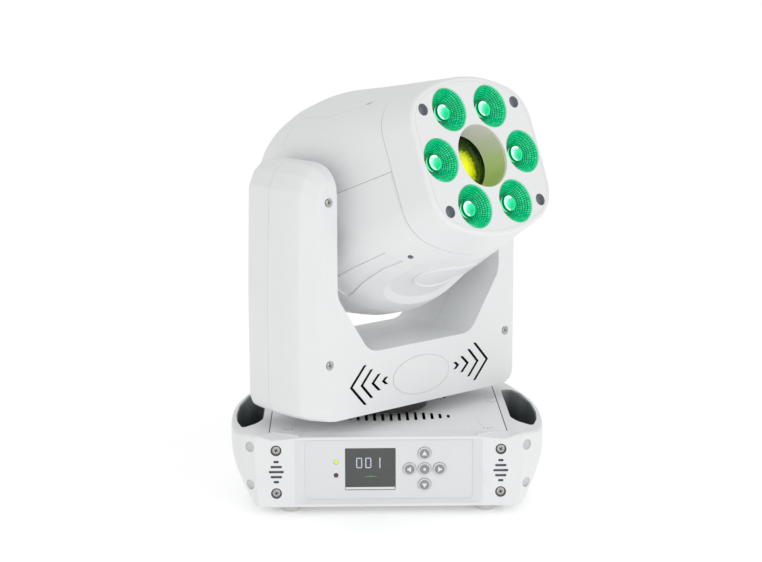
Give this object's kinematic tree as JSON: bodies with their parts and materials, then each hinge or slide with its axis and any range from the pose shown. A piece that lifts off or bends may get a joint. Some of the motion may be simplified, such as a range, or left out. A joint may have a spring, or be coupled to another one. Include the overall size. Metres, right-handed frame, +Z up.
{
  "type": "moving head light",
  "caption": "Compact moving head light: a head with wash lenses round a central spot lens tilts in a yoke that pans on a base with a menu display, keys and side hand-holes.",
  "frame": {"origin": "on the pan axis at the underside of the base's bottom plate", "axes": "+Z up along the pan axis, -Y the side of the base with the display and the keys, +X to the right of someone facing that side"},
  "size_m": [0.3047, 0.288, 0.4117],
  "materials": {
    "white_plastic": "satin",
    "white_metal": "satin",
    "panel_grey": "satin",
    "display": "gloss",
    "black_plastic": "satin",
    "black_metal": "satin",
    "circuit_board": "satin",
    "steel": "brushed",
    "aluminium": "satin",
    "foot_rubber": "matt",
    "belt_rubber": "matt",
    "button_grey": "satin",
    "wash_lens": "gloss",
    "spot_lens": "gloss",
    "filter_glass": "gloss",
    "tunnel_grey": "satin"
  },
  "bodies": {
    "base": {"base_housing": "white_plastic", "base_top_plate": "white_metal", "base_bottom_plate": "steel", "front_panel": "panel_grey", "display_window": "display", "display_module": "black_plastic", "control_board": "circuit_board", "foot_front_left": "foot_rubber", "foot_front_right": "foot_rubber", "foot_rear_left": "foot_rubber", "foot_rear_right": "foot_rubber", "rear_panel": "black_metal", "power_inlet": "black_plastic", "data_output": "black_plastic", "data_input": "black_plastic", "power_supply": "aluminium", "pan_hub_pulley": "aluminium"},
    "button_up": {"button_up": "button_grey"},
    "button_down": {"button_down": "button_grey"},
    "button_left": {"button_left": "button_grey"},
    "button_right": {"button_right": "button_grey"},
    "button_ok": {"button_ok": "button_grey"},
    "yoke": {"yoke_front_cover": "white_plastic", "yoke_rear_cover": "white_plastic", "yoke_badge": "white_plastic", "yoke_frame": "steel", "pan_bearing": "steel", "pan_collar": "black_plastic", "tilt_bearing_left": "steel", "tilt_bearing_right": "steel", "pan_motor": "black_metal", "pan_belt": "belt_rubber", "tilt_motor": "black_metal", "tilt_belt": "belt_rubber"},
    "pan_motor_pulley": {"pan_motor_pulley": "aluminium"},
    "tilt_motor_pulley": {"tilt_motor_pulley": "aluminium"},
    "head": {"head_front_bezel": "white_plastic", "head_top_shell": "white_plastic", "head_bottom_shell": "white_plastic", "wash_lens_1": "wash_lens", "wash_lens_2": "wash_lens", "wash_lens_3": "wash_lens", "wash_lens_4": "wash_lens", "wash_lens_5": "wash_lens", "wash_lens_6": "wash_lens", "wash_led_board": "circuit_board", "lens_tunnel": "tunnel_grey", "head_chassis": "steel", "tilt_axle_left": "steel", "tilt_axle_right": "steel", "tilt_pulley": "aluminium", "heat_sink": "aluminium", "led_engine": "black_metal", "wheel_plate": "steel", "gobo_motor": "black_metal", "colour_motor": "black_metal"},
    "focus_lens": {"focus_lens": "spot_lens"},
    "colour_wheel": {"colour_wheel": "filter_glass"},
    "gobo_wheel": {"gobo_wheel": "steel"},
    "fan_rotor": {"fan_rotor": "black_plastic"}
  },
  "joints": [
    {"name": "pan", "type": "hinge", "parent": "base", "child": "yoke", "pos_m": [0, 0, 0.09], "axis": [0, 0, 1], "range_deg": [-311.26, 228.74]},
    {"name": "tilt", "type": "hinge", "parent": "yoke", "child": "head", "pos_m": [0, 0, 0.27968], "axis": [-0.7517, -0.6595, 0], "range_deg": [-36.69, 173.31]},
    {"name": "pan_motor_spin", "type": "hinge", "parent": "yoke", "child": "pan_motor_pulley", "pos_m": [0.04661, 0.04089, 0.1], "axis": [0, 0, 1], "range_deg": [-930, 1260]},
    {"name": "tilt_motor_spin", "type": "hinge", "parent": "yoke", "child": "tilt_motor_pulley", "pos_m": [-0.08833, -0.07749, 0.19], "axis": [-0.7517, -0.6595, 0], "range_deg": [-160, 700]},
    {"name": "focus", "type": "slide", "parent": "head", "child": "focus_lens", "axis": [0.6128, -0.6985, 0.3696], "range_m": [-0.01, 0.003]},
    {"name": "colour_spin", "type": "hinge", "parent": "head", "child": "colour_wheel", "pos_m": [0.02989, -0.03407, 0.33214], "axis": [0.6128, -0.6985, 0.3696], "continuous": true},
    {"name": "gobo_spin", "type": "hinge", "parent": "head", "child": "gobo_wheel", "pos_m": [0.04977, -0.05674, 0.27526], "axis": [0.6128, -0.6985, 0.3696], "continuous": true},
    {"name": "fan_spin", "type": "hinge", "parent": "head", "child": "fan_rotor", "pos_m": [-0.04718, 0.05378, 0.25122], "axis": [0.6128, -0.6985, 0.3696], "continuous": true},
    {"name": "button_up_press", "type": "slide", "parent": "base", "child": "button_up", "axis": [0, 1, 0], "range_m": [0, 0.0008], "stiffness_N_per_m": 600, "springref_m": -0.001},
    {"name": "button_down_press", "type": "slide", "parent": "base", "child": "button_down", "axis": [0, 1, 0], "range_m": [0, 0.0008], "stiffness_N_per_m": 600, "springref_m": -0.001},
    {"name": "button_left_press", "type": "slide", "parent": "base", "child": "button_left", "axis": [0, 1, 0], "range_m": [0, 0.0008], "stiffness_N_per_m": 600, "springref_m": -0.001},
    {"name": "button_right_press", "type": "slide", "parent": "base", "child": "button_right", "axis": [0, 1, 0], "range_m": [0, 0.0008], "stiffness_N_per_m": 600, "springref_m": -0.001},
    {"name": "button_ok_press", "type": "slide", "parent": "base", "child": "button_ok", "axis": [0, 1, 0], "range_m": [0, 0.0008], "stiffness_N_per_m": 600, "springref_m": -0.001}
  ],
  "couplings": [
    {"joint": "pan_motor_spin", "follows": "pan", "ratio": -4},
    {"joint": "tilt_motor_spin", "follows": "tilt", "ratio": 4}
  ]
}
